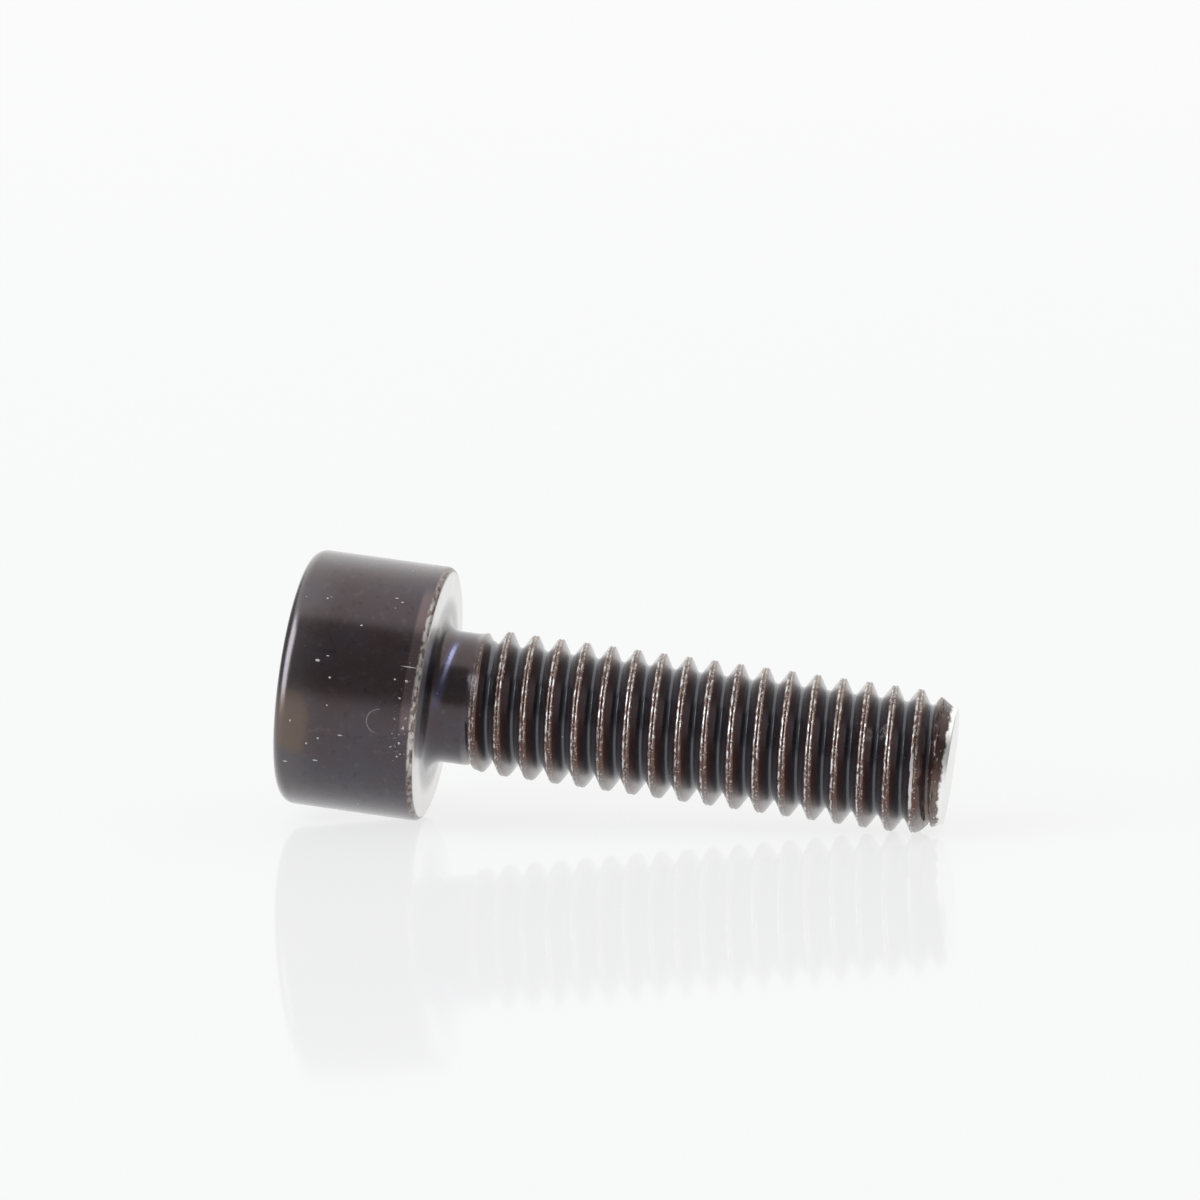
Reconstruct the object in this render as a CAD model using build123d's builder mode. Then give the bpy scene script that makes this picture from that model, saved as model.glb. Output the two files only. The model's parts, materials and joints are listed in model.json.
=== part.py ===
from build123d import *
from math import atan2, ceil, cos, radians, sin, tan
import os

os.makedirs("parts", exist_ok=True)

# Sizes in millimetres and degrees, for a size 4 coarse-thread cap screw, 14 long under its head

# Head
head_dia = 6.95
head_height = 3.85
head_top_round = 0.38
head_under_chamfer = 0.20

# Hexagon socket in the head
socket_across_flats = 3.04
socket_depth = 2.05
socket_floor_angle = 150.0
socket_mouth_dia = 3.76
socket_mouth_angle = 120.0

# Shank between the head and the thread
shank_length = 14.0
neck_dia = 3.58
neck_fillet = 0.42
neck_end = 0.98

# Thread
thread_dia = 3.90
thread_pitch = 0.70
thread_angle = 60.0
crest_flat = 0.16
root_flat = 0.10
thread_phase = 0.36
root_runout = 0.50
crest_runout = 0.72

# Tapered tip with a chamfer round its end face
tip_length = 1.10
end_chamfer_length = 0.40
end_chamfer_dia = 3.52
end_face_dia = 3.00

head_r = head_dia / 2
neck_r = neck_dia / 2
crest_r = thread_dia / 2
taper_r = end_chamfer_dia / 2
end_r = end_face_dia / 2
half_angle = radians(thread_angle / 2)
thread_depth = (thread_pitch - crest_flat - root_flat) / 2 / tan(half_angle)
root_r = crest_r - thread_depth

socket_r = socket_across_flats / 2
mouth_r = socket_mouth_dia / 2
floor_start = socket_depth - head_height
floor_end = floor_start + socket_r / tan(radians(socket_floor_angle / 2))
mouth_end = mouth_r / tan(radians(socket_mouth_angle / 2)) - head_height

# The screw lies on the lower edge of its head and on the last full crest of its thread
tilt = atan2(head_r - crest_r, shank_length - tip_length + head_under_chamfer)
rest_height = head_r * cos(tilt) - head_under_chamfer * sin(tilt)

# The head's top edge is the leftmost part and the end face is the rightmost one
left = (head_height - head_top_round) * cos(tilt) + (head_r - head_top_round) * sin(tilt) + head_top_round
right = shank_length * cos(tilt) + end_r * sin(tilt)

# The screw's own axis starts at the middle of the bearing face and runs to the tip
bearing_point = Vector((left - right) / 2, 0, rest_height)
along = Vector(cos(tilt), 0, -sin(tilt))
upward = Vector(sin(tilt), 0, cos(tilt))
screw_axis = Axis(bearing_point, along)
half_section = Plane(origin=bearing_point, x_dir=along, z_dir=(0, -1, 0))
head_top = Plane(origin=bearing_point - along * head_height, x_dir=upward, z_dir=-along)

# How far the ridge stands above the crests before they are trimmed, and its foot below the root
trim = 0.05
foot = 0.03
foot_half = (thread_pitch - root_flat) / 2 + foot * tan(half_angle)
peak_half = crest_flat / 2 - trim * tan(half_angle)

# The core and the trimmed ridge start inside the neck
buried = (neck_fillet + neck_end) / 2

# The turns join on the far side, so the first one starts a quarter turn before the topmost crest
first_turn = thread_phase - thread_pitch / 4
turns = ceil((shank_length - first_turn) / thread_pitch) + 1
turn_starts = [bearing_point + along * (first_turn + turn * thread_pitch) for turn in range(turns)]

with BuildPart() as thread_turn:
    # One upright turn of the ridge, a little taller than the finished crest
    with BuildLine() as helix:
        Helix(thread_pitch, thread_pitch, root_r)
    with BuildSketch(Plane(origin=helix.line @ 0, x_dir=(1, 0, 0), z_dir=helix.line % 0)):
        with BuildLine():
            Polyline((-foot, -foot_half), (thread_depth + trim, -peak_half), (thread_depth + trim, peak_half),
                     (-foot, foot_half), close=True)
        make_face()
    sweep(path=helix.line, is_frenet=True)

with BuildPart() as machine_screw:
    # Core of the threaded length
    with BuildSketch(half_section):
        with BuildLine():
            Polyline((buried, 0), (buried, root_r), (shank_length + trim, root_r), (shank_length + trim, 0),
                     close=True)
        make_face()
    revolve(axis=screw_axis)

    # Thread, turn after turn along the axis
    with Locations([Plane(origin=start, x_dir=(0, 1, 0), z_dir=along) for start in turn_starts]):
        add(thread_turn.part)

    # The crests are trimmed to their run-out, their full diameter and the tip
    with BuildSketch(half_section):
        with BuildLine():
            Polyline((buried, 0), (buried, neck_r - trim), (neck_end + crest_runout, crest_r),
                     (shank_length - tip_length, crest_r), (shank_length - end_chamfer_length, taper_r),
                     (shank_length, end_r), (shank_length, 0), close=True)
        make_face()
    revolve(axis=screw_axis, mode=Mode.INTERSECT)

    # Neck, with the root of the thread running out into it
    with BuildSketch(half_section):
        with BuildLine():
            Polyline((0, neck_r + neck_fillet), (-trim, neck_r + neck_fillet), (-trim, 0),
                     (neck_end + root_runout, 0), (neck_end + root_runout, root_r - foot),
                     (neck_end, neck_r), (neck_fillet, neck_r))
            RadiusArc((0, neck_r + neck_fillet), (neck_fillet, neck_r), -neck_fillet)
        make_face()
    revolve(axis=screw_axis)

    # Head
    with BuildSketch(half_section):
        with BuildLine():
            Polyline((0, 0), (0, head_r), (-head_height, head_r), (-head_height, 0), close=True)
        make_face()
        fillet(vertices().group_by(Axis.Y)[-1].sort_by(Axis.X)[0], head_top_round)
        chamfer(vertices().group_by(Axis.Y)[-1].sort_by(Axis.X)[-1], head_under_chamfer)
    revolve(axis=screw_axis)

    # Hexagon socket with a shallow cone for its floor
    with BuildSketch(head_top):
        RegularPolygon(socket_across_flats / 2, 6, major_radius=False)
    extrude(amount=-socket_depth, mode=Mode.SUBTRACT)
    with BuildSketch(half_section):
        with BuildLine():
            Polyline((floor_start - trim, 0), (floor_start - trim, socket_r), (floor_start, socket_r),
                     (floor_end, 0), close=True)
        make_face()
    revolve(axis=screw_axis, mode=Mode.SUBTRACT)

    # Countersunk mouth of the socket
    with BuildSketch(half_section):
        with BuildLine():
            Polyline((-head_height, 0), (-head_height, mouth_r), (mouth_end, 0), close=True)
        make_face()
    revolve(axis=screw_axis, mode=Mode.SUBTRACT)

machine_screw.part.label = "machine_screw"
export_step(machine_screw.part, "parts/machine_screw.step")
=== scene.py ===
import json
from math import cos, pi, radians, sin, tan

import bpy
from bpy.props import FloatProperty, FloatVectorProperty, PointerProperty
from mathutils import Matrix, Vector


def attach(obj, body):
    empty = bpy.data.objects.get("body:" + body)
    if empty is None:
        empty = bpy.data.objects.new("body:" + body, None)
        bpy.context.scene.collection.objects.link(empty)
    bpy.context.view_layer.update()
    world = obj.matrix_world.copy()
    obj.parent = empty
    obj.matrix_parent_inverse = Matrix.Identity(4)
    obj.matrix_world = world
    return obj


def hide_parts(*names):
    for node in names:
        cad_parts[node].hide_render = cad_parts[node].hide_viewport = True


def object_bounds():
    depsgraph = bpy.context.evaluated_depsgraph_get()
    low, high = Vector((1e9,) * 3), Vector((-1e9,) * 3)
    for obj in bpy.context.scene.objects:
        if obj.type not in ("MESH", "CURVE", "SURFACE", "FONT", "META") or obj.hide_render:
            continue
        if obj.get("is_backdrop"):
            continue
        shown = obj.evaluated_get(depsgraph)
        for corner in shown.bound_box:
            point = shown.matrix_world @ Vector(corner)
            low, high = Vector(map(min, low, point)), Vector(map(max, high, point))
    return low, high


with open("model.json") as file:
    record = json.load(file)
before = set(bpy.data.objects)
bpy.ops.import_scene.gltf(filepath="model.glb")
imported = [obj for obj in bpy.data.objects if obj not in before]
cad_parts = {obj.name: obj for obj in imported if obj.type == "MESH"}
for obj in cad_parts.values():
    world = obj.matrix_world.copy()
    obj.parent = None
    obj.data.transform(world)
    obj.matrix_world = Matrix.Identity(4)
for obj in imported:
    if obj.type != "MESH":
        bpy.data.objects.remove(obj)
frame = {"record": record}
cad_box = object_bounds()

bl_info = {
    "name": "Machine Screw",
    "version": (1, 0, 0),
    "blender": (4, 5, 0),
    "location": "View3D > Sidebar > Machine Screw",
    "description": "Builds a black steel socket head machine screw lying on a pale glossy floor",
    "category": "Object",
}

# The bearing face's centre and the screw's axis, as the record states them, and the turn that lays it there
BEARING = next(m for m in frame["record"]["mounts"] if m["name"] == "bearing_face")
ALONG = Vector(BEARING["axis"]).normalized()
UPWARD = Vector((-ALONG.z, 0, ALONG.x))
TURN = Matrix((UPWARD, ALONG.cross(UPWARD), ALONG)).transposed()

# The screw is modelled upright in millimetres, with its bearing face at height 0 and its head below that
MM = 0.001

# Steps round the turned and screwed surfaces
THREAD_STEPS = 96
HEAD_STEPS = 160
LIMIT_STEPS = 192

# How near doubled vertices lie, in millimetres
SCREWED_MERGE = 1e-5
MERGE = 1e-4

# Where two faces meet at more than this, their edge stays crisp
CRISP_ANGLE = radians(38)

# Bare marks on the head's near side, placed on a head of this radius in millimetres
MARKED_RADIUS = 3.475

# Millimetres along, degrees round from the top, half length and half width in millimetres
MARKS = (
    (-1.08, 35.8, 0.056, 0.0245), (-0.90, 37.7, 0.048, 0.0245), (-2.89, 41.3, 0.032, 0.028),
    (-1.82, 52.9, 0.032, 0.028), (-2.80, 71.6, 0.080, 0.042), (-2.55, 69.0, 0.040, 0.021),
    (-2.41, 78.3, 0.040, 0.035), (-0.68, 75.2, 0.040, 0.028), (-0.36, 75.3, 0.048, 0.042),
    (-0.48, 83.1, 0.040, 0.028), (-2.40, 90.6, 0.028, 0.0245), (-3.35, 99.8, 0.024, 0.042),
    (-2.57, 106.4, 0.032, 0.035), (-1.98, 103.5, 0.080, 0.021), (-2.88, 109.8, 0.032, 0.035),
    (-3.45, 121.2, 0.072, 0.028), (-2.63, 118.2, 0.080, 0.028), (-0.38, 103.3, 0.032, 0.042),
    (-0.30, 96.0, 0.028, 0.063), (-1.54, 146.7, 0.040, 0.028), (-0.36, 69.0, 0.264, 0.0175),
    (-0.42, 110.0, 0.028, 0.035))

# Shades that the oxide and the steel take where they are tinted, thin or rubbed, and the colours of painted
# light and painted highlights on them
REDDISH = (0.052, 0.029, 0.030, 1)
BLUISH = (0.046, 0.041, 0.056, 1)
THIN_OXIDE = (0.105, 0.085, 0.085, 1)
# Painted light: a paler grey laid towards the top of the head on its near side
PAINTED_LIGHT_GREY = (0.13, 0.115, 0.115, 1)
BROWN_STAIN = (0.15, 0.095, 0.06, 1)
MAUVE = (0.19, 0.13, 0.14, 1)
ROOT_GREY = (0.065, 0.065, 0.078, 1)
# Painted highlight on the neck: a blue streak and its paler glint
BLUE_HIGHLIGHT = (0.10, 0.10, 0.20, 1)
GLINT_BLUE = (0.50, 0.52, 0.80, 1)
DARK_BROWN = (0.040, 0.024, 0.022, 1)
GREY_BROWN = (0.20, 0.16, 0.14, 1)
# Painted highlight on the crests along the thread's top and bottom outline
PEAK_HIGHLIGHT_GREY = (0.42, 0.39, 0.37, 1)
SEAM_BROWN = (0.035, 0.014, 0.012, 1)
BEIGE = (0.32, 0.25, 0.20, 1)
RUBBED_STEEL = (0.97, 0.96, 0.95, 1)

# Clear oily skin over the oxide, and the height of the relief that the light catches
SKIN_IOR = 1.5
SKIN_ROUGHNESS = 0.20
RELIEF = 0.004 * MM

# Stage, in metres: a glowing floor under a clear skin, a dim room and a white background
FLOOR_SIZE = 3.0
FLOOR_GLOW = 0.88
FLOOR_SKIN_IOR = 1.06
FLOOR_SKIN_ROUGHNESS = 0.06
ROOM_LIGHT = 0.24
BACKGROUND_LIGHT = 0.74

# Name, place, what it points at, width and length, watts and colour
LAMPS = (
    ("overhead", (0, 0.75, 1.0), (0, 0.75, 0), (3.0, 2.4), 19.5, (1, 1, 1)),
    ("left_side", (-0.9, -0.60, 0.50), (0, 0, 0), (0.85, 1.15), 16.0, (0.88, 0.93, 1.0)),
)

# Camera: its lens and sensor in millimetres, and where it stands from a point in the screw's middle
LENS = 165.0
SENSOR = 36.0
MIDDLE = Vector((0, 0, 0.0025))
AZIMUTH = radians(7.978)
ELEVATION = radians(9.940)
DISTANCE = 0.1482985

# That point lies this far right of and below the picture's middle, in pixels at this focal length
PIXELS_RIGHT = 19.34
PIXELS_BELOW = 132.8
FOCAL_PIXELS = 5500


class ScrewSizes(bpy.types.PropertyGroup):
    head_diameter: FloatProperty(
        name="Head diameter", description="Across the round head", default=6.937 * MM, unit="LENGTH")
    head_height: FloatProperty(
        name="Head height", description="From the bearing face to the top of the head",
        default=3.85 * MM, unit="LENGTH")
    top_round: FloatProperty(
        name="Top edge", description="Radius round the top edge of the head",
        default=0.38 * MM, unit="LENGTH")
    under_round: FloatProperty(
        name="Under edge", description="Radius round the edge of the bearing face",
        default=0.20 * MM, unit="LENGTH")
    key_size: FloatProperty(
        name="Key size", description="Across the flats of the hexagon socket",
        default=3.04 * MM, unit="LENGTH")
    socket_depth: FloatProperty(
        name="Socket depth", description="Depth of the socket's flat walls",
        default=2.05 * MM, unit="LENGTH")
    mouth_diameter: FloatProperty(
        name="Socket mouth", description="Across the countersink at the socket's mouth",
        default=3.76 * MM, unit="LENGTH")
    shank_length: FloatProperty(
        name="Length", description="From the bearing face to the tip", default=14.0 * MM, unit="LENGTH")
    neck_diameter: FloatProperty(
        name="Neck diameter", description="Across the plain neck under the head",
        default=3.58 * MM, unit="LENGTH")
    neck_length: FloatProperty(
        name="Neck length", description="From the bearing face to the start of the thread",
        default=0.98 * MM, unit="LENGTH")
    neck_fillet: FloatProperty(
        name="Neck fillet", description="Radius between the neck and the bearing face",
        default=0.42 * MM, unit="LENGTH")
    thread_diameter: FloatProperty(
        name="Thread diameter", description="Across the thread's crests",
        default=3.888 * MM, unit="LENGTH")
    root_diameter: FloatProperty(
        name="Root diameter", description="Across the bottom of the thread's groove",
        default=3.138 * MM, unit="LENGTH")
    pitch: FloatProperty(
        name="Pitch", description="From one crest to the next", default=0.70 * MM, unit="LENGTH")
    phase: FloatProperty(
        name="First crest", description="From the bearing face to the first crest on top",
        default=0.36 * MM, unit="LENGTH")
    end_diameter: FloatProperty(
        name="End diameter", description="Across the flat face at the tip",
        default=3.14 * MM, unit="LENGTH")


class FinishColours(bpy.types.PropertyGroup):
    black_steel: FloatVectorProperty(
        name="Black steel", description="Colour of the black oxide", default=(0.012, 0.010, 0.011),
        subtype="COLOR", size=3, min=0, max=1)
    worn_brown: FloatVectorProperty(
        name="Worn brown", description="Colour of the oxide worn thin along the crests",
        default=(0.105, 0.045, 0.032), subtype="COLOR", size=3, min=0, max=1)
    bare_steel: FloatVectorProperty(
        name="Bare steel", description="Colour of the steel where the oxide is rubbed off",
        default=(0.62, 0.60, 0.58), subtype="COLOR", size=3, min=0, max=1)
    floor: FloatVectorProperty(
        name="Floor", description="Colour of the glossy floor", default=(0.93, 0.93, 0.93),
        subtype="COLOR", size=3, min=0, max=1)


class Value:
    """One socket of a node tree. Arithmetic on it adds Math nodes."""

    def __init__(self, tree, socket):
        self.tree = tree
        self.socket = socket

    def node(self, kind, settings=None, inputs=None, output=0):
        """Adds a node, sets its settings, then fills its sockets with values or links."""
        node = self.tree.nodes.new(kind)
        for name, setting in (settings or {}).items():
            setattr(node, name, setting)
        for name, value in (inputs or {}).items():
            if isinstance(value, Value):
                self.tree.links.new(value.socket, node.inputs[name])
            else:
                node.inputs[name].default_value = value
        return Value(self.tree, node.outputs[output]) if node.outputs else None

    def math(self, operation, *others):
        return self.node("ShaderNodeMath", {"operation": operation}, dict(enumerate((self, *others))))

    def __add__(self, other):
        return self.math("ADD", other)

    __radd__ = __add__

    def __sub__(self, other):
        return self.math("SUBTRACT", other)

    def __rsub__(self, other):
        return self.node("ShaderNodeMath", {"operation": "SUBTRACT"}, {0: other, 1: self})

    def __mul__(self, other):
        return self.math("MULTIPLY", other)

    __rmul__ = __mul__

    def __truediv__(self, other):
        return self.math("DIVIDE", other)

    def __abs__(self):
        return self.math("ABSOLUTE")

    def at_most_one(self):
        return self.math("MINIMUM", 1.0)

    def step(self, start, end):
        """0 before start, 1 after end and smooth between them. Start may be the larger one."""
        return self.node("ShaderNodeMapRange", {"interpolation_type": "SMOOTHSTEP"},
                         {"Value": self, "From Min": start, "From Max": end})

    def blend(self, first, second):
        """The first colour where this value is 0 and the second where it is 1."""
        return self.node("ShaderNodeMix", {"data_type": "RGBA"}, {0: self, 6: first, 7: second}, output=2)


def new_tree(name):
    material = bpy.data.materials.new(name)
    material.use_nodes = True
    material.node_tree.nodes.clear()
    return material, Value(material.node_tree, None)


def deselect():
    bpy.ops.object.select_all(action="DESELECT")


def take(piece):
    """Selects one piece alone."""
    deselect()
    piece.select_set(True)
    bpy.context.view_layer.objects.active = piece


def edit(piece, mode="VERT"):
    """Opens one piece for editing by its vertices or edges."""
    take(piece)
    bpy.ops.object.mode_set(mode="EDIT")
    bpy.ops.mesh.select_mode(type=mode)


def done():
    bpy.ops.object.mode_set(mode="OBJECT")


def select_only(piece, elements, chosen):
    """Selects the chosen vertices or edges of a piece and nothing else."""
    for group in (piece.data.polygons, piece.data.edges, piece.data.vertices):
        group.foreach_set("select", [False] * len(group))
    for element in elements:
        element.select = chosen(element)


def added_piece(name):
    """The piece just added, named and with its place applied."""
    piece = bpy.context.object
    piece.name = name
    bpy.ops.object.transform_apply(location=True, rotation=True, scale=True)
    return piece


def apply_modifier(piece, kind, **settings):
    """Adds one modifier to the piece and applies it."""
    take(piece)
    bpy.ops.object.modifier_add(type=kind)
    modifier = piece.modifiers[-1]
    for name, setting in settings.items():
        setattr(modifier, name, setting)
    bpy.ops.object.modifier_apply(modifier=modifier.name)


def drawn_line(name, points):
    """A line of edges through (radius, height) points, drawn by extruding one vertex."""
    deselect()
    bpy.ops.mesh.primitive_plane_add(size=1, location=(0, 0, 0))
    line = bpy.context.object
    line.name = name
    bpy.ops.object.mode_set(mode="EDIT")
    bpy.ops.mesh.select_all(action="SELECT")
    bpy.ops.mesh.merge(type="CENTER")
    places = [Vector((radius, 0, height)) for radius, height in points]
    bpy.ops.transform.translate(value=places[0])
    for last, place in zip(places, places[1:]):
        bpy.ops.mesh.extrude_vertices_move(TRANSFORM_OT_translate={"value": place - last})
    done()
    return line


def screwed(piece, rise, rounds, steps):
    """Carries a drawn line round the upright axis, rising by so much in each round."""
    apply_modifier(piece, "SCREW", axis="Z", angle=2 * pi, screw_offset=rise, iterations=rounds,
                   steps=steps, render_steps=steps, use_merge_vertices=True, merge_threshold=SCREWED_MERGE)


def turned(name, points, steps):
    """A surface turned round the upright axis from (radius, height) points."""
    piece = drawn_line(name, points)
    screwed(piece, 0, 1, steps)
    return piece


def face_outwards(piece):
    """Merges doubled vertices and turns every face of a closed piece outwards."""
    edit(piece)
    bpy.ops.mesh.select_all(action="SELECT")
    bpy.ops.mesh.remove_doubles(threshold=MERGE)
    bpy.ops.mesh.normals_make_consistent(inside=False)
    done()


def arc(centre_radius, centre_height, radius, start, end, count):
    """Points on an arc, with its angles in degrees from straight outwards and up."""
    angles = [radians(start + (end - start) * i / count) for i in range(count + 1)]
    return [(centre_radius + radius * cos(a), centre_height + radius * sin(a)) for a in angles]


def trim(height, **side):
    """Cuts the edited piece across at a height and clears the named side."""
    bpy.ops.mesh.select_all(action="SELECT")
    bpy.ops.mesh.bisect(plane_co=(0, 0, height), plane_no=(0, 0, 1), **side)


def roughen(piece, chosen, amount):
    """Shakes the chosen vertices a little, as rolling and cutting leave a crest."""
    select_only(piece, piece.data.vertices, lambda vertex: chosen(vertex.co))
    edit(piece)
    bpy.ops.transform.vertex_random(offset=amount, uniform=0, normal=0, seed=4)
    done()


def make_thread(s):
    """The thread: one pitch of its section screwed along the axis, then trimmed at both ends."""
    crest, root, pitch = s.thread_diameter / 2 / MM, s.root_diameter / 2 / MM, s.pitch / MM
    neck, neck_end = s.neck_diameter / 2 / MM, s.neck_length / MM
    end, tip = s.end_diameter / 2 / MM, s.shank_length / MM
    end_round, overlap = 0.03, 0.3
    # Half of one pitch: from the seam in the crest's middle, over its rolled lip and down to the root
    half = [(crest - 0.016, 0.0), (crest - 0.012, 0.014), (crest - 0.002, 0.032), (crest, 0.048),
            (crest - 0.006, 0.066), (crest - 0.024, 0.086), (crest - 0.058, 0.108), (root + 0.16, 0.206),
            (root + 0.10, 0.240), (root + 0.052, 0.268), (root + 0.020, 0.296), (root + 0.004, 0.324)]
    section = [(root, -pitch / 2)] + [(r, -h) for r, h in reversed(half[1:])] + half + [(root, pitch / 2)]
    thread = drawn_line("thread", section)
    thread.location = (0, 0, s.phase / MM - pitch)
    bpy.ops.object.transform_apply(location=True, rotation=False, scale=False)
    screwed(thread, pitch, int(tip / pitch) + 3, THREAD_STEPS)
    edit(thread)
    bpy.ops.mesh.select_all(action="SELECT")
    bpy.ops.mesh.remove_doubles(threshold=MERGE)
    trim(neck_end, clear_inner=True)
    trim(tip - end_round, clear_outer=True)
    done()
    # The crests stay inside the first outline, and the groove stays outside the second
    outline = turned("outline", [
        (0, neck_end - 0.5), (neck - 0.06, neck_end - 0.5), (neck + 0.005, neck_end),
        (crest - 0.04, neck_end + 0.45), (crest, neck_end + 0.72), (crest, tip - 1.10),
        (crest - 0.045, tip - 0.80), (crest - 0.11, tip - 0.58), (crest - 0.20, tip - 0.38),
        (crest - 0.36, tip - 0.17), (end, tip - end_round), (end - 0.05, tip + overlap),
        (0, tip + overlap)], LIMIT_STEPS)
    core = turned("core", [
        (0, neck_end - 0.5), (neck, neck_end - 0.5), (neck, neck_end), (neck - 0.012, neck_end + 0.08),
        (neck - 0.05, neck_end + 0.17), (root + 0.03, neck_end + 0.44), (root - 0.01, neck_end + 0.62),
        (root - 0.01, tip - 0.3), (end - 0.05, tip), (0, tip)], LIMIT_STEPS)
    for limit, side in ((outline, "INSIDE"), (core, "OUTSIDE")):
        face_outwards(limit)
        apply_modifier(thread, "SHRINKWRAP", target=limit, wrap_method="NEAREST_SURFACEPOINT",
                       wrap_mode=side)
        bpy.data.objects.remove(limit)
    roughen(thread, lambda v: v.xy.length > crest - 0.012 and v.z < tip - 1.2, 0.005)
    roughen(thread, lambda v: v.xy.length > root + 0.02 and tip - 0.75 < v.z < tip - 0.08, 0.02)
    return thread


def make_head(s):
    """The head and neck, turned in one line from the start of the thread to the middle of the top."""
    neck, fillet, neck_end = s.neck_diameter / 2 / MM, s.neck_fillet / MM, s.neck_length / MM
    head, height = s.head_diameter / 2 / MM, s.head_height / MM
    under, top = s.under_round / MM, s.top_round / MM
    line = [(neck, neck_end - 0.08), (neck, 0.70)]
    line += arc(neck + fillet, fillet, fillet, 180, 270, 10)
    line += [(head - under - 0.35, 0)]
    line += arc(head - under, -under, under, 90, 0, 6)
    line += [(head, -under - 0.4), (head, -height / 2), (head, -height + top + 0.4)]
    line += arc(head - top, top - height, top, 0, -90, 10)
    line += [(head - top - 0.25, -height), (s.key_size / MM * 0.75, -height), (0, -height)]
    return turned("head", line, HEAD_STEPS)


def make_tip(s):
    """The end face, with its edge broken and its middle a little hollow."""
    end, tip = s.end_diameter / 2 / MM, s.shank_length / MM
    return turned("tip", [
        (end - 0.010, tip - 0.018), (end - 0.032, tip - 0.006), (end - 0.072, tip), (end - 0.20, tip),
        (end - 0.5, tip - 0.012), (0.35, tip - 0.02), (0.12, tip - 0.008), (0, tip - 0.006)], THREAD_STEPS)


def bridge(screw, low, high):
    """Joins the two open rims that lie between two heights."""
    mesh = screw.data
    uses = {}
    for face in mesh.polygons:
        for key in face.edge_keys:
            uses[key] = uses.get(key, 0) + 1

    def on_rim(edge):
        heights = [mesh.vertices[v].co.z for v in edge.vertices]
        return uses.get(edge.key, 0) == 1 and low <= min(heights) and max(heights) <= high

    select_only(screw, mesh.edges, on_rim)
    edit(screw, "EDGE")
    bpy.ops.mesh.bridge_edge_loops()
    done()


def cut(piece, tool):
    """Takes the tool's solid out of the piece and removes the tool."""
    apply_modifier(piece, "BOOLEAN", operation="DIFFERENCE", solver="EXACT", object=tool)
    bpy.data.objects.remove(tool)


def cut_socket(screw, s):
    """Cuts the hexagon socket, its drilled floor and its countersunk mouth into the head."""
    height, flat, depth = s.head_height / MM, s.key_size / MM / 2, s.socket_depth / MM
    spare = 1
    deselect()
    bpy.ops.mesh.primitive_cylinder_add(
        vertices=6, radius=flat / cos(pi / 6), depth=depth + spare, rotation=(0, 0, pi / 6),
        location=(0, 0, (depth - spare) / 2 - height))
    cut(screw, added_piece("key"))
    # The drill that went in before the key left a shallow cone, just clear of the flat walls
    drill, floor, cone_height = flat - 0.02, depth - height, 0.402
    cone = turned("drill", [(0, floor - 0.2), (drill, floor - 0.2), (drill, floor),
                            (0, floor + cone_height)], THREAD_STEPS)
    face_outwards(cone)
    cut(screw, cone)
    # The countersink is a cone whose rim stands outside the corners of the hexagon
    rim, slope, spare = s.mouth_diameter / MM / 2, tan(radians(30)), 0.5
    deselect()
    bpy.ops.mesh.primitive_cone_add(
        vertices=THREAD_STEPS, radius1=rim + spare / slope, radius2=0, depth=rim * slope + spare,
        location=(0, 0, (rim * slope - spare) / 2 - height))
    cut(screw, added_piece("countersink"))

    def on_mouth(edge):
        ends = [screw.data.vertices[v].co for v in edge.vertices]
        return all(abs(v.z + height) < 0.005 and abs(v.xy.length - rim) < 0.02 for v in ends)

    select_only(screw, screw.data.edges, on_mouth)
    edit(screw, "EDGE")
    bpy.ops.mesh.mark_sharp()
    done()


def screw_space(tree):
    """The place on the screw in millimetres: up and across the axis, and along it from the bearing face."""
    place = tree.node("ShaderNodeTexCoord", output="Object")
    return tree.node("ShaderNodeMapping", {"vector_type": "TEXTURE"}, {
        "Vector": place, "Location": BEARING["pos_m"], "Rotation": TURN.to_euler(), "Scale": (MM, MM, MM)})


def patch(along, around, centre, size):
    """1 in the middle of an oval spot, falling smoothly to 0 at its edge."""
    far = ((along - centre[0]) / size[0]).math("POWER", 2) + ((around - centre[1]) / size[1]).math("POWER", 2)
    return far.step(1.0, 0.2)


def between(value, low, high, soft):
    """1 from low to high, falling smoothly to 0 within a soft margin outside them."""
    return value.step(low - soft, low) * value.step(high + soft, high)


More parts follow.
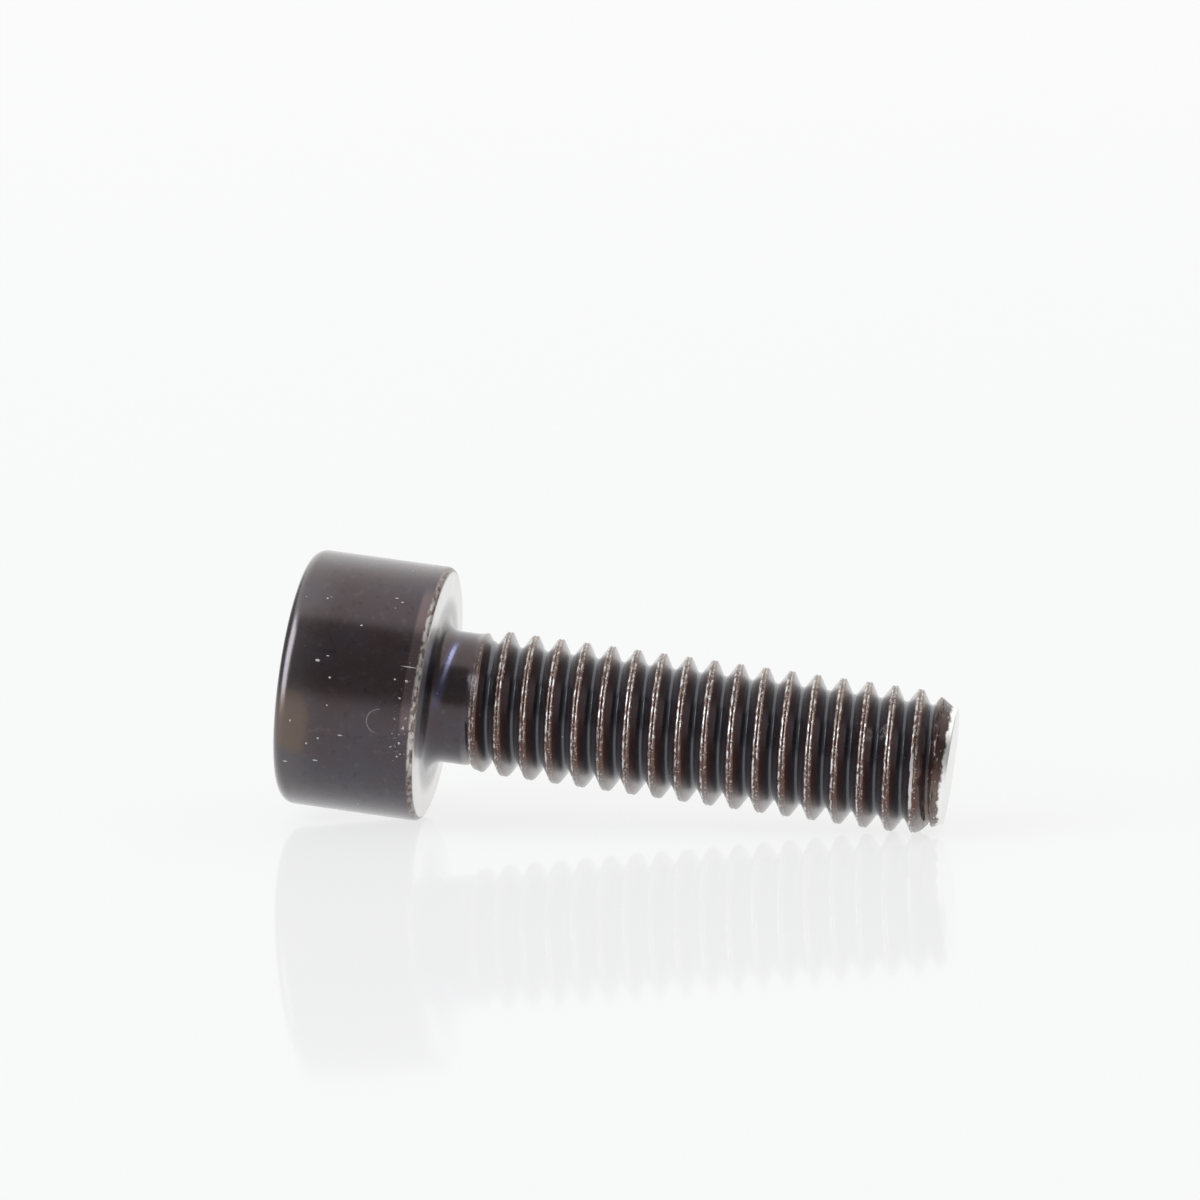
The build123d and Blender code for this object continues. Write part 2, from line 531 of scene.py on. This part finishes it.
def black_steel(s, colours):
    """Black oxide over steel, worn brown and bright along the crests and edges, with painted highlights and
    painted light.
    """
    material, tree = new_tree("black_steel")
    place = screw_space(tree)
    up, across, along = (
        tree.node("ShaderNodeSeparateXYZ", {}, {"Vector": place}, output=axis) for axis in "XYZ")
    radius = (up * up + across * across).math("SQRT")
    # Radians round from the top to the near side, millimetres round the head and from the nearest crest
    angle = across.math("ARCTAN2", up)
    side = angle * (s.head_diameter / MM / 2)
    turns = (along - s.phase / MM) / (s.pitch / MM) - angle / (2 * pi)
    from_crest = ((turns + 0.5).math("FRACT") - 0.5) * (s.pitch / MM)

    def grain(scale, detail=3.0, stretch=None):
        vector = place
        if stretch:
            vector = tree.node("ShaderNodeVectorMath", {"operation": "MULTIPLY"}, {0: place, 1: stretch})
        return tree.node("ShaderNodeTexNoise", {}, {"Vector": vector, "Scale": scale, "Detail": detail})

    def cells(output):
        return tree.node("ShaderNodeTexVoronoi", {}, {"Vector": place, "Scale": 2.6}, output=output)

    fine, coarse, blots, dashes = grain(16.0), grain(1.1), grain(4.0), grain(13.0, 2.0, (0.4, 0.4, 1.0))
    upper, lowest = angle.step(2.1, 1.5), angle.step(2.05, 2.6)
    near_side = angle.step(-0.4, 0.9) * angle.step(3.0, 2.0)

    # Crests: two thin rolled lips beside a dark seam, and a brown shoulder on the flank that faces the tip
    on_thread = between(along, 1.1, 13.5, 0.2)
    ridge = radius.step(1.80, 1.88) * between(along, 1.2, 13.35, 0.3)
    wobble = from_crest + (grain(5.0) - 0.5) * 0.04
    crest = between(wobble, -0.085, 0.075, 0.02) * ridge
    left_lip = between(wobble, -0.088, -0.048, 0.018) * ridge
    right_lip = between(wobble, 0.022, 0.048, 0.018) * ridge
    seam = between(wobble, -0.022, 0.005, 0.015) * ridge
    shoulder = between(from_crest, 0.05, 0.15, 0.09) * between(along, 1.3, 13.6, 0.4)
    root = abs(from_crest).step(0.25, 0.30) * between(along, 1.2, 13.4, 0.3)
    # Painted highlight: grey over the crests along the top and the bottom of the thread's outline
    painted_peak_highlight = (lowest + angle.step(0.45, 0.10)).at_most_one() * on_thread * radius.step(1.65, 1.80)
    smear = patch(along + (fine - 0.5) * 0.1, angle, (12.2, radians(58)), (0.15, 0.15))
    streak = (between(angle, 1.35, 2.05, 0.12) * between(along, 12.9, 13.4, 0.1)
              * between(wobble, -0.065, -0.02, 0.02))

    # Tip: a ragged brown last crest with a pale rim, then a bright end with the marks of the cut
    ragged = along + (blots - 0.5) * 0.22
    last_crest = between(ragged, 13.50, 13.80, 0.05) * radius.step(1.50, 1.56)
    last_rim = between(ragged, 13.47, 13.51, 0.03) * radius.step(1.60, 1.68)
    end = ragged.step(13.82, 13.90)
    cut_marks = (radius * 55.0 + coarse * 9.0).math("SINE") * end

    # Head: the scuffed edge, the band beside it, the rubbed bearing face, a brown stain, and painted light
    # towards the top
    on_head = radius.step(3.30, 3.40)
    edge = along.step(-0.19, -0.11) * radius.step(3.31, 3.37)
    scuffed = edge * (0.35 + between(angle, 0.75, 1.95, 0.2) * 0.65)
    beside_edge = between(along, -0.36, -0.15, 0.10) * between(angle, 0.6, 1.6, 0.2) * on_head
    rubbed = (between(along, -0.58, -0.28, 0.12) * between(angle, 1.2, 1.95, 0.2) * on_head
              * fine.step(0.64, 0.69))
    bearing = along.step(-0.03, -0.01) * radius.step(2.15, 2.45) * along.step(0.2, 0.1)
    stain = patch(along + (blots - 0.5) * 0.4, side + (coarse - 0.5), (-3.35, 6.1), (0.55, 1.2)) * 0.5
    # Painted light: the near side of the head grows paler towards its top
    painted_light_top = along.step(-2.4, -3.6) * 0.5 * near_side

    # Neck: a painted highlight, a slanting blue streak along the fillet in the tint that the thin oxide film
    # gives its reflections, with a paler painted glint as its core
    slanted = along + angle * 0.21 + (fine - 0.5) * 0.05
    blue_highlight = between(slanted, 0.54, 0.60, 0.16) * between(angle, 0.65, 1.35, 0.4) * radius.step(2.20, 1.95)
    painted_glint = between(slanted, 0.56, 0.59, 0.07) * between(angle, 0.70, 0.95, 0.35) * blue_highlight * (0.2 + fine)

    # Small bare marks and specks: those on the near side, a curved scratch, and a few specks anywhere
    shaken = along + (fine - 0.5) * 0.03
    marks = along * 0
    for place_along, degrees_round, length, width in MARKS:
        marks = marks + patch(shaken, side, (place_along, radians(degrees_round) * MARKED_RADIUS),
                              (length, width))
    ring = ((along + 0.97).math("POWER", 2) + (side - 5.74).math("POWER", 2)).math("SQRT")
    scratch = between(ring, 0.325, 0.345, 0.012) * along.step(-0.95, -1.0) * side.step(6.10, 6.0)
    chance = tree.node("ShaderNodeSeparateColor", {}, {"Color": cells("Color")})
    specks = (cells("Distance") + (fine - 0.5) * 0.06).step(0.07, 0.03) * chance.step(0.60, 0.65)
    bare = ((marks + scratch * 0.25) * on_head + specks * 0.7).at_most_one()

    bright = (left_lip * dashes.step(0.50, 0.56) + right_lip * dashes.step(0.56, 0.62) * upper * 0.8
              + crest * fine.step(0.58, 0.64) * 0.55 + scuffed * dashes.step(0.40, 0.54) * 0.9
              + last_crest * dashes.step(0.64, 0.70) * 0.6 + rubbed * 0.6
              + streak + smear * fine.step(0.46, 0.56) * 0.6 + bare * (0.3 + fine)).at_most_one()
    beige = (left_lip * 0.5 + right_lip * upper * 0.6 + scuffed * 0.6
             + crest * angle.step(0.9, 0.2) * 0.6 + last_rim * 0.8).at_most_one() * blots.step(0.30, 0.62)
    brown = ((crest + shoulder * (0.35 + angle.step(0.9, 1.9) * 0.65) + last_crest + edge * 0.7).at_most_one()
             * (0.6 + blots * 0.6) * (1.0 - lowest * 0.5))
    pale = (bearing * radius.step(2.25, 2.8) * 0.9 + end).at_most_one()

    # The shades lie over each other in this order
    tint = (angle.step(1.5, 2.3) * 0.5 + (coarse - 0.5) * 1.8 + 0.25).math("MAXIMUM", 0).at_most_one()
    colour = tint.blend(REDDISH, BLUISH)
    for mask, shade in (
            (blots.step(0.56, 0.75) * 0.4, THIN_OXIDE),
            (blots.step(0.42, 0.28) * 0.5, (*colours.black_steel, 1)),
            # painted light towards the top of the head
            (painted_light_top, PAINTED_LIGHT_GREY),
            (stain, BROWN_STAIN),
            (beside_edge * 0.6, MAUVE),
            (root, ROOT_GREY),
            # painted blue highlight on the neck, and its paler painted glint
            (blue_highlight * 0.7, BLUE_HIGHLIGHT),
            (painted_glint.at_most_one(), GLINT_BLUE),
            (brown.at_most_one(), (*colours.worn_brown, 1)),
            (last_crest * angle.step(1.7, 1.2) * 0.7, DARK_BROWN),
            (last_crest * angle.step(1.5, 1.9) * 0.7, GREY_BROWN),
            # painted highlight on the crests at the top and bottom
            (painted_peak_highlight * 0.6, PEAK_HIGHLIGHT_GREY),
            (seam * upper * 0.8, SEAM_BROWN),
            (beige, BEIGE),
            ((pale * (0.85 + coarse * 0.3)).at_most_one(), RUBBED_STEEL),
            (bright, (*colours.bare_steel, 1))):
        colour = mask.blend(colour, shade)

    worn = (brown + beige + pale).at_most_one()
    roughness = 0.25 + coarse * 0.08 + worn * 0.10 + bare * 0.2 + (grain(6.0) - 0.5) * 0.08
    matt = brown.math("MAXIMUM", on_thread * 0.85).at_most_one()
    drawn_marks = grain(8.0, 4.0, (1.0, 1.0, 0.10))
    height = (fine * 0.25 + grain(34.0) * 0.12 + drawn_marks * 0.35 + brown * grain(11.0) * 1.6 + bare * 1.5
              + dashes * beige * 1.2 + cut_marks * 0.8)
    bump = tree.node("ShaderNodeBump", {}, {"Height": height, "Distance": RELIEF, "Strength": 1.0})
    surface = tree.node("ShaderNodeBsdfPrincipled", {}, {
        "Base Color": colour, "Roughness": roughness, "Metallic": 1.0 - matt * 0.35, "Normal": bump,
        "Coat Weight": 1.0 - worn * 0.6, "Coat Roughness": SKIN_ROUGHNESS, "Coat IOR": SKIN_IOR})
    tree.node("ShaderNodeOutputMaterial", {}, {"Surface": surface})
    return material


def seen_straight(tree):
    """1 where the camera itself looks at the surface."""
    return tree.node("ShaderNodeLightPath", output="Is Camera Ray")


def seen_in_metal(tree):
    """1 where the surface is seen in a glossy thing or through a clear one."""
    mirrored = tree.node("ShaderNodeLightPath", output="Is Glossy Ray")
    return mirrored + tree.node("ShaderNodeLightPath", output="Is Transmission Ray")


def glossy_floor(colour):
    """A pale glowing sheet under a clear glossy skin, which still takes some of the screw's shadow."""
    material, tree = new_tree("glossy_floor")
    matt = tree.node("ShaderNodeBsdfDiffuse", {}, {"Color": (*colour, 1)})
    glow = tree.node("ShaderNodeEmission", {}, {"Color": (*colour, 1), "Strength": 1.0})
    share = (seen_straight(tree) + seen_in_metal(tree)) * FLOOR_GLOW
    sheet = tree.node("ShaderNodeMixShader", {}, {0: share, 1: matt, 2: glow})
    skin = tree.node("ShaderNodeBsdfGlossy", {}, {
        "Color": (1, 1, 1, 1), "Roughness": FLOOR_SKIN_ROUGHNESS})
    gloss = tree.node("ShaderNodeFresnel", {}, {"IOR": FLOOR_SKIN_IOR})
    surface = tree.node("ShaderNodeMixShader", {}, {0: gloss, 1: sheet, 2: skin})
    tree.node("ShaderNodeOutputMaterial", {}, {"Surface": surface})
    return material


def white_background():
    """A dim room with a white background behind the screw, which metal shows as well."""
    world = bpy.data.worlds.new("studio")
    world.use_nodes = True
    world.node_tree.nodes.clear()
    tree = Value(world.node_tree, None)
    direction = tree.node("ShaderNodeTexCoord", output="Generated")
    backwards, upwards = (
        tree.node("ShaderNodeSeparateXYZ", {}, {"Vector": direction}, output=axis) for axis in "YZ")
    behind = backwards.step(0.70, 0.86) * upwards.step(0.47, 0.43)
    white = seen_straight(tree) + seen_in_metal(tree) * behind
    background = tree.node("ShaderNodeBackground", {}, {
        "Color": (1, 1, 1, 1), "Strength": ROOM_LIGHT + white * BACKGROUND_LIGHT})
    tree.node("ShaderNodeOutputWorld", {}, {"Surface": background})
    return world


def add_lamp(scene, name, place, aim, size, power, colour):
    """Adds a rectangular soft lamp that the camera doesn't see."""
    data = bpy.data.lights.new(name, "AREA")
    data.shape = "RECTANGLE"
    data.size, data.size_y = size
    data.energy = power
    data.color = colour
    lamp = bpy.data.objects.new(name, data)
    scene.collection.objects.link(lamp)
    lamp.location = place
    lamp.rotation_euler = (Vector(aim) - Vector(place)).to_track_quat("-Z", "Y").to_euler()
    lamp.visible_camera = False


def add_camera(scene):
    """Adds the camera where the photographer's stood."""
    data = bpy.data.cameras.new("camera")
    data.lens = LENS
    data.sensor_width = SENSOR
    data.clip_start = 0.005
    data.clip_end = 20
    camera = bpy.data.objects.new("camera", data)
    scene.collection.objects.link(camera)
    back = Vector((sin(AZIMUTH) * cos(ELEVATION), -cos(AZIMUTH) * cos(ELEVATION), sin(ELEVATION)))
    right = (-back).cross(Vector((0, 0, 1))).normalized()
    up = right.cross(-back)
    camera.location = MIDDLE + back * DISTANCE
    aim = (MIDDLE - right * (PIXELS_RIGHT / FOCAL_PIXELS * DISTANCE)
           + up * (PIXELS_BELOW / FOCAL_PIXELS * DISTANCE))
    camera.rotation_euler = (aim - camera.location).to_track_quat("-Z", "Y").to_euler()
    scene.camera = camera


class SCREW_OT_make_screw(bpy.types.Operator):
    """Models the screw in one closed piece and lays it where the CAD screw lies"""

    bl_idname = "machine_screw.make_screw"
    bl_label = "Make Screw"

    def execute(self, context):
        s = context.scene.screw_sizes
        thread, head, tip = make_thread(s), make_head(s), make_tip(s)
        deselect()
        for part in (tip, head, thread):
            part.select_set(True)
        context.view_layer.objects.active = thread
        bpy.ops.object.join()
        screw = context.object
        screw.name = "screw"
        screw.data.name = "screw"
        middle = s.shank_length / MM / 2
        bridge(screw, 0, middle)
        bridge(screw, middle, 2 * middle)
        face_outwards(screw)
        cut_socket(screw, s)
        face_outwards(screw)
        screw.matrix_world = Matrix.Translation(BEARING["pos_m"]) @ TURN.to_4x4() @ Matrix.Scale(MM, 4)
        take(screw)
        bpy.ops.object.transform_apply(location=True, rotation=True, scale=True)
        bpy.ops.object.shade_smooth_by_angle(angle=CRISP_ANGLE)
        screw.data.materials.clear()
        screw.data.materials.append(black_steel(s, context.scene.finish_colours))
        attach(screw, "root")
        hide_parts("machine_screw")
        return {"FINISHED"}


class SCREW_OT_make_stage(bpy.types.Operator):
    """Lays the pale glossy floor and sets the lamps, the world and the camera"""

    bl_idname = "machine_screw.make_stage"
    bl_label = "Make Stage"

    def execute(self, context):
        deselect()
        bpy.ops.mesh.primitive_plane_add(size=FLOOR_SIZE, location=(0, 0, 0))
        floor = context.object
        floor.name = "floor"
        floor.data.materials.append(glossy_floor(context.scene.finish_colours.floor))
        floor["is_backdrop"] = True
        for lamp in LAMPS:
            add_lamp(context.scene, *lamp)
        context.scene.world = white_background()
        add_camera(context.scene)
        context.scene.view_settings.view_transform = "Standard"
        return {"FINISHED"}


class SCREW_PT_panel(bpy.types.Panel):
    """Lists the operators and the sizes and colours that they use"""

    bl_label = "Machine Screw"
    bl_idname = "SCREW_PT_panel"
    bl_space_type = "VIEW_3D"
    bl_region_type = "UI"
    bl_category = "Machine Screw"

    def draw(self, context):
        layout = self.layout
        for group in (context.scene.screw_sizes, context.scene.finish_colours):
            for name in group.__annotations__:
                layout.prop(group, name)
        for maker in MAKERS:
            layout.operator(maker.bl_idname)


MAKERS = (SCREW_OT_make_screw, SCREW_OT_make_stage)
CLASSES = (ScrewSizes, FinishColours, *MAKERS, SCREW_PT_panel)


def register():
    for cls in CLASSES:
        bpy.utils.register_class(cls)
    bpy.types.Scene.screw_sizes = PointerProperty(type=ScrewSizes)
    bpy.types.Scene.finish_colours = PointerProperty(type=FinishColours)


def unregister():
    del bpy.types.Scene.screw_sizes
    del bpy.types.Scene.finish_colours
    for cls in reversed(CLASSES):
        bpy.utils.unregister_class(cls)


def main():
    register()
    bpy.ops.machine_screw.make_screw()
    bpy.ops.machine_screw.make_stage()
    boxes = {"cad": cad_box, "visual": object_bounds()}
    boxes = {name: [list(corner) for corner in box] for name, box in boxes.items()}


if __name__ == "__main__":
    main()
